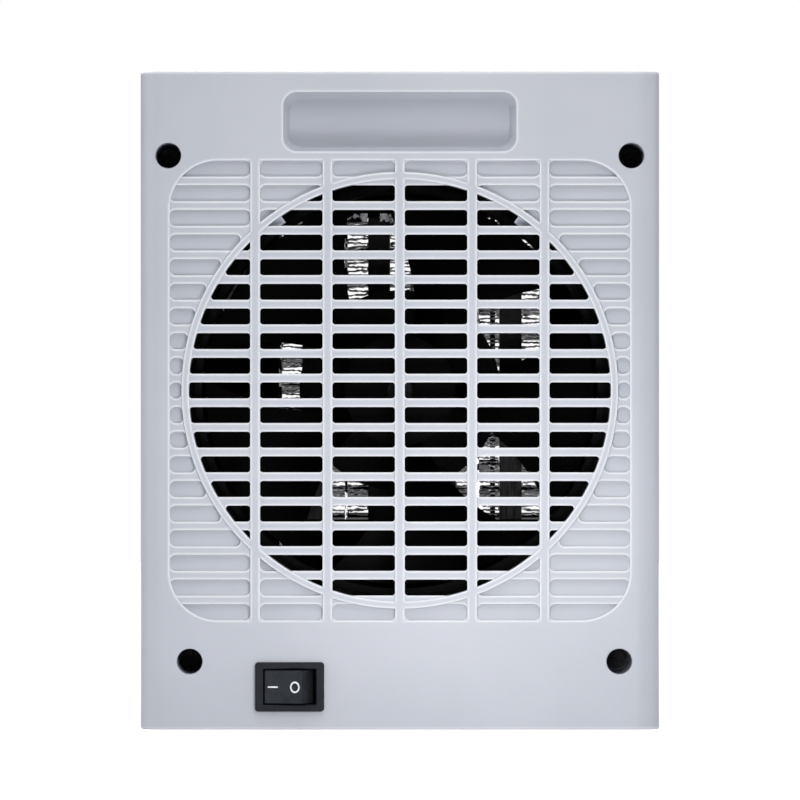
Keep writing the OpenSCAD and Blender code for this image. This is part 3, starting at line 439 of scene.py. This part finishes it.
# housing
shellBox = {
    "halfWidth": 0.079, "height": 0.2, "seam": 0.0041, "rear": 0.058, "frontFace": -0.0575,
    "round": 0.0004, "near": 0.0002,
}
gripRecess = {
    "middle": Vector((0, 0.049, 0.1848)), "halfWidth": 0.03555, "halfHeight": 0.0091,
    "draft": 0.0019, "slack": 0.0004,
}


def onOutline(p):
    inset = shellBox["near"]
    return abs(p.x) > shellBox["halfWidth"] - inset or not inset <= p.z <= shellBox["height"] - inset


def inGrip(p):
    away = p - gripRecess["middle"]
    reach = [gripRecess[half] + gripRecess["slack"] for half in ("halfWidth", "halfHeight")]
    return abs(away.x) < reach[0] and abs(away.z) < reach[1]


def outlineEdge(a, b):
    return onOutline(a) and onOutline(b)


def frontOutlineEdge(a, b):
    # the front face's edges, and the outline as far as the seam
    front = max(a.y, b.y)
    return front < shellBox["frontFace"] or (outlineEdge(a, b) and front < shellBox["seam"])


def draftGripWalls():
    # the recess narrows towards its floor, so that it leaves the mould
    piece = bpy.context.object
    bpy.ops.mesh.select_mode(type="VERT")
    bpy.ops.mesh.select_all(action="DESELECT")
    mesh = bmesh.from_edit_mesh(piece.data)
    for vert in mesh.verts:
        vert.select = inGrip(vert.co) and abs(vert.co.y - gripRecess["middle"].y) < shellBox["near"]
    mesh.select_flush_mode()
    bmesh.update_edit_mesh(piece.data)
    narrower = 1 - gripRecess["draft"] / gripRecess["halfWidth"]
    lower = 1 - gripRecess["draft"] / gripRecess["halfHeight"]
    bpy.ops.transform.resize(value=(narrower, 1, lower), center_override=gripRecess["middle"])
    bpy.ops.mesh.select_mode(type="EDGE")


rearEdges = {"shape": draftGripWalls, "round": shellBox["round"], "pick": outlineEdge}
rearShell = softEdgedCopy("rear_shell", "rearShell", rearEdges)
dress(rearShell, finishes["shell"], "shell", "housing", "rear_shell")

frontEdges = {"round": shellBox["round"], "pick": frontOutlineEdge}
frontShell = softEdgedCopy("front_shell", "frontShell", frontEdges)
dress(frontShell, finishes["shell"], "shell", "housing", "front_shell")
print("shells rounded:", len(rearShell.data.polygons), len(frontShell.data.polygons))


# fan
fanEdges = {
    "flat": 0.05, "sharp": 40, "steps": 2, "clamp": True, "smooth": 32, "round": 0.00025, "pick": everyEdge,
}
fanWheel = softEdgedCopy("fan_impeller", "fanWheel", fanEdges)
dress(fanWheel, finishes["fan_plastic"], "fan_plastic", "fan", "fan_impeller")
print("fan shaped:", len(fanWheel.data.polygons))


# heater: the thin folded strips are never quite even
foldWaves = {"longest": 0.0011, "rounds": 4, "size": 0.0016, "height": 0.0015, "smooth": 35}

fins = openCopy("heater_fins", "finStrips")
for cutRound in range(foldWaves["rounds"]):
    bpy.ops.mesh.select_all(action="DESELECT")
    mesh = bmesh.from_edit_mesh(fins.data)
    for edge in mesh.edges:
        edge.select = abs(edge.verts[0].co.x - edge.verts[1].co.x) > foldWaves["longest"]
    bmesh.update_edit_mesh(fins.data)
    bpy.ops.mesh.subdivide(number_cuts=1)
bpy.ops.object.mode_set(mode="OBJECT")
unevenness = bpy.data.textures.new("foldUnevenness", "CLOUDS")
unevenness.noise_scale = foldWaves["size"]
waves = fins.modifiers.new("foldWaves", "DISPLACE")
waves.texture = unevenness
waves.texture_coords = "LOCAL"
waves.direction = "Z"
waves.mid_level = 0.5
waves.strength = foldWaves["height"]
bpy.ops.object.modifier_apply(modifier=waves.name)
bpy.ops.object.shade_smooth_by_angle(angle=math.radians(foldWaves["smooth"]))
dress(fins, finishes["aluminium"], "aluminium", "housing", "heater_fins")
print("fins waved:", len(fins.data.polygons))


# power switch
rockerEdges = {**fineEdges, "round": 0.00018, "pick": behind(0.055)}
bezelEdges = {**fineEdges, "round": 0.0005, "pick": behind(0.0585)}
rockerKey = softEdgedCopy("rocker", "rockerKey", rockerEdges)
dress(rockerKey, finishes["switch_plastic"], "switch_plastic", "rocker", "rocker")
rockerFrame = softEdgedCopy("rocker_housing", "rockerFrame", bezelEdges)
dress(rockerFrame, bezelPlastic, "switch_plastic", "housing", "rocker_housing")

switchMarks = {
    "front": 0.0635, "height": 0.01297, "line": 0.00044, "inkDepth": 0.00004,
    "strokeX": 0.03856, "strokeWidth": 0.00304, "ovalX": 0.03187, "ovalWidth": 0.00292,
    "ovalHeight": 0.00353,
}


def printOnKey(mark, name):
    # lays the flat mark on the key's hollow face and gives the ink its thickness
    selectOnly(mark)
    mark.name = name
    mark.data.name = name
    bpy.ops.object.transform_apply(location=True, rotation=True, scale=True)
    wrap = mark.modifiers.new("wrap", "SHRINKWRAP")
    wrap.target = rockerKey
    wrap.wrap_method = "PROJECT"
    wrap.use_project_y = True
    wrap.use_negative_direction = True
    wrap.use_positive_direction = False
    wrap.offset = switchMarks["inkDepth"]
    bpy.ops.object.modifier_apply(modifier=wrap.name)
    ink = mark.modifiers.new("ink", "SOLIDIFY")
    ink.thickness = switchMarks["inkDepth"] * 2
    ink.offset = 0
    bpy.ops.object.modifier_apply(modifier=ink.name)
    bpy.ops.object.mode_set(mode="EDIT")
    bpy.ops.mesh.select_all(action="SELECT")
    bpy.ops.mesh.normals_make_consistent(inside=False)
    bpy.ops.object.mode_set(mode="OBJECT")
    dress(mark, whiteInk, "switch_plastic", "rocker")


bpy.ops.object.select_all(action="DESELECT")
bpy.ops.mesh.primitive_grid_add(
    x_subdivisions=12, y_subdivisions=3, size=1, rotation=(math.radians(90), 0, 0),
    location=(switchMarks["strokeX"], switchMarks["front"], switchMarks["height"]),
)
stroke = bpy.context.object
stroke.scale = (switchMarks["strokeWidth"], switchMarks["line"], 1)
printOnKey(stroke, "switchStroke")

bpy.ops.object.select_all(action="DESELECT")
bpy.ops.mesh.primitive_circle_add(
    vertices=48, radius=0.5, fill_type="NGON", rotation=(math.radians(90), 0, 0),
    location=(switchMarks["ovalX"], switchMarks["front"], switchMarks["height"]),
)
oval = bpy.context.object
bpy.ops.object.mode_set(mode="EDIT")
bpy.ops.mesh.select_mode(type="FACE")
bpy.ops.mesh.select_all(action="SELECT")
bpy.ops.mesh.inset(thickness=switchMarks["line"] / switchMarks["ovalWidth"])
bpy.ops.mesh.delete(type="FACE")
bpy.ops.object.mode_set(mode="OBJECT")
oval.scale = (switchMarks["ovalWidth"], switchMarks["ovalHeight"], 1)
printOnKey(oval, "switchOval")
print("switch shaped")


# outlet and controls
trimEdges = {**fineEdges, "round": 0.0005, "pick": before(-0.0579)}
panelEdges = {**trimEdges, "round": 0.0003}
outletTrim = softEdgedCopy("outlet_frame", "outletTrim", trimEdges)
dress(outletTrim, finishes["black_plastic"], "black_plastic", "housing", "outlet_frame")
panelPlate = softEdgedCopy("control_panel", "panelPlate", panelEdges)
dress(panelPlate, finishes["black_plastic"], "black_plastic", "housing", "control_panel")

knob = {"at": 0.034, "height": 0.0215, "skirt": -0.0619, "level": 0.0005}


def knobFaceEdge(a, b):
    # level edges from the skirt's face to the tip of the grip
    return max(a.y, b.y) < knob["skirt"] and abs(a.y - b.y) < knob["level"]


knobEdges = {**fineEdges, "sharp": 35, "round": 0.0006, "pick": knobFaceEdge}
pointer = {"width": 0.0011, "start": 0.0056, "end": 0.0101, "floor": -0.0709, "thick": 0.0003}
dials = {
    "mode_knob": {"side": -1, "piece": "modeKnob", "pointer": "modePointer"},
    "thermostat_knob": {"side": 1, "piece": "thermostatKnob", "pointer": "thermostatPointer"},
}
for nodeName, dial in dials.items():
    turned = softEdgedCopy(nodeName, dial["piece"], knobEdges)
    dress(turned, finishes["knob_plastic"], "knob_plastic", nodeName, nodeName)
    bpy.ops.object.select_all(action="DESELECT")
    bpy.ops.mesh.primitive_cube_add(size=1, location=(
        dial["side"] * knob["at"], pointer["floor"] - pointer["thick"] / 2,
        knob["height"] + (pointer["start"] + pointer["end"]) / 2,
    ))
    inlay = bpy.context.object
    inlay.name = dial["pointer"]
    inlay.scale = (pointer["width"], pointer["thick"], pointer["end"] - pointer["start"])
    bpy.ops.object.transform_apply(location=True, rotation=True, scale=True)
    dress(inlay, whiteInk, "knob_plastic", nodeName)

# numbers at the four stops of the left knob, dots that grow round the right one
dialMarks = {
    "reach": 0.0143, "ink": 0.00004, "stops": 4, "stopTurn": 180, "numberSize": 0.0023,
    "dots": 10, "turn": 270, "firstDot": 0.00025, "dotGrowth": 0.00045, "dotSides": 24,
}


def dialPoint(side, degrees):
    turn = math.radians(degrees)
    return Vector((
        side * knob["at"] + dialMarks["reach"] * math.sin(turn), -shellBox["rear"],
        knob["height"] + dialMarks["reach"] * math.cos(turn),
    ))


def printOnPanel(mark, name):
    mark.name = name
    mark.data.name = name
    bpy.ops.object.transform_apply(location=True, rotation=True, scale=True)
    dress(mark, whiteInk, "black_plastic", "housing")


for stop in range(dialMarks["stops"]):
    bpy.ops.object.select_all(action="DESELECT")
    spot = dialPoint(-1, stop * dialMarks["stopTurn"] / (dialMarks["stops"] - 1))
    bpy.ops.object.text_add(location=spot, rotation=(math.radians(90), 0, 0))
    number = bpy.context.object
    number.data.body = str(stop)
    number.data.size = dialMarks["numberSize"]
    number.data.align_x = "CENTER"
    number.data.align_y = "CENTER"
    number.data.extrude = dialMarks["ink"]
    bpy.ops.object.convert(target="MESH")
    printOnPanel(bpy.context.object, "dialNumber%d" % stop)

for step in range(dialMarks["dots"]):
    bpy.ops.object.select_all(action="DESELECT")
    share = step / (dialMarks["dots"] - 1)
    bpy.ops.mesh.primitive_cylinder_add(
        vertices=dialMarks["dotSides"], depth=dialMarks["ink"] * 2,
        radius=dialMarks["firstDot"] + dialMarks["dotGrowth"] * share,
        location=dialPoint(1, share * dialMarks["turn"]), rotation=(math.radians(90), 0, 0),
    )
    printOnPanel(bpy.context.object, "dialDot%d" % step)
print("front dressed")


# floor, light
floorSetup = {
    "half": 2.4, "paint": (214, 214, 216), "nearGlow": 0.62, "farGlow": 1.0, "near": 0.25, "far": 0.8,
}

bpy.ops.object.select_all(action="DESELECT")
bpy.ops.mesh.primitive_plane_add(size=floorSetup["half"] * 2, location=(0, 0, 0))
floor = bpy.context.object
floor.name = "studioFloor"
floorPaint = bpy.data.materials.new("studioFloor")
floorPaint.use_nodes = True
tree = floorPaint.node_tree
tree.nodes.clear()
output = tree.nodes.new("ShaderNodeOutputMaterial")
matte = tree.nodes.new("ShaderNodeBsdfDiffuse")
matte.inputs["Color"].default_value = linear(floorSetup["paint"])
# the glow shows to the camera and in gloss, so that the floor is white but adds no soft light
glow = tree.nodes.new("ShaderNodeEmission")
rays = tree.nodes.new("ShaderNodeLightPath")
seen = combined(tree, "MAXIMUM", rays.outputs["Is Camera Ray"], rays.outputs["Is Glossy Ray"])
seen = combined(tree, "MAXIMUM", seen, rays.outputs["Is Transmission Ray"])
place = tree.nodes.new("ShaderNodeTexCoord")
reach = tree.nodes.new("ShaderNodeVectorMath")
reach.operation = "LENGTH"
tree.links.new(place.outputs["Object"], reach.inputs[0])
fade = spread(
    tree, reach.outputs["Value"], floorSetup["nearGlow"], floorSetup["farGlow"],
    start=floorSetup["near"], end=floorSetup["far"],
)
tree.links.new(combined(tree, "MULTIPLY", seen, fade), glow.inputs["Strength"])
both = tree.nodes.new("ShaderNodeAddShader")
tree.links.new(matte.outputs[0], both.inputs[0])
tree.links.new(glow.outputs[0], both.inputs[1])
tree.links.new(both.outputs[0], output.inputs["Surface"])
floor.data.materials.append(floorPaint)

# a light tent: the walls beside the heater are brighter than the one behind the camera
room = {"paint": (250, 251, 255), "sides": 0.74, "rear": 0.19, "sideEnd": 0.3, "rearStart": 0.75}
world = bpy.data.worlds.new("studioWorld")
bpy.context.scene.world = world
world.use_nodes = True
tree = world.node_tree
tree.nodes.clear()
output = tree.nodes.new("ShaderNodeOutputWorld")
rays = tree.nodes.new("ShaderNodeLightPath")
seen = combined(tree, "MAXIMUM", rays.outputs["Is Camera Ray"], rays.outputs["Is Transmission Ray"])
roomLight = tree.nodes.new("ShaderNodeBackground")
roomLight.inputs["Color"].default_value = linear(room["paint"])
way = tree.nodes.new("ShaderNodeTexCoord")
axes = tree.nodes.new("ShaderNodeSeparateXYZ")
tree.links.new(way.outputs["Generated"], axes.inputs[0])
depth = tree.nodes.new("ShaderNodeMath")
depth.operation = "ABSOLUTE"
tree.links.new(axes.outputs["Y"], depth.inputs[0])
band = tree.nodes.new("ShaderNodeMapRange")
band.interpolation_type = "SMOOTHSTEP"
band.inputs["From Min"].default_value = room["sideEnd"]
band.inputs["From Max"].default_value = room["rearStart"]
band.inputs["To Min"].default_value = room["sides"]
band.inputs["To Max"].default_value = room["rear"]
tree.links.new(depth.outputs[0], band.inputs["Value"])
tree.links.new(band.outputs["Result"], roomLight.inputs["Strength"])
backdrop = tree.nodes.new("ShaderNodeBackground")
backdrop.inputs["Color"].default_value = (1, 1, 1, 1)
backdrop.inputs["Strength"].default_value = 1.0
mix = tree.nodes.new("ShaderNodeMixShader")
tree.links.new(seen, mix.inputs["Fac"])
tree.links.new(roomLight.outputs[0], mix.inputs[1])
tree.links.new(backdrop.outputs[0], mix.inputs[2])
tree.links.new(mix.outputs[0], output.inputs["Surface"])

# softboxes round the camera light the rear, and one in front of the heater lights its face
litPoint = Vector((0, 0, 0.1))
softboxes = {
    "topBox": {"at": (0.06, 0.62, 1.5), "size": (1.0, 0.5), "power": 1.1},
    "aboveBox": {"at": (0, 0.35, 0.7), "size": (0.4, 0.15), "power": 0.68},
    "leftBox": {"at": (1.2, 0.3, 0.4), "size": (0.4, 0.9), "power": 2.7},
    "rightBox": {"at": (-1.2, 0.3, 0.4), "size": (0.4, 0.9), "power": 1.15},
    "highBox": {"at": (-0.03, 0.46, 0.44), "size": (0.2, 0.2), "power": 0.56},
    "lowBox": {"at": (-0.03, 0.25, 0.05), "size": (0.06, 0.06), "power": 0.15},
    "frontBox": {"at": (0.5, -2.2, 1.0), "size": (1.0, 0.8), "power": 28},
}
for boxName, box in softboxes.items():
    lamp = bpy.data.lights.new(boxName, "AREA")
    lamp.shape = "RECTANGLE"
    lamp.size, lamp.size_y = box["size"]
    lamp.energy = box["power"]
    holder = bpy.data.objects.new(boxName, lamp)
    holder.location = box["at"]
    aim = litPoint - Vector(box["at"])
    holder.rotation_euler = aim.to_track_quat("-Z", "Y").to_euler()
    bpy.context.scene.collection.objects.link(holder)

bpy.context.scene.view_settings.view_transform = "Standard"
print("studio lit")
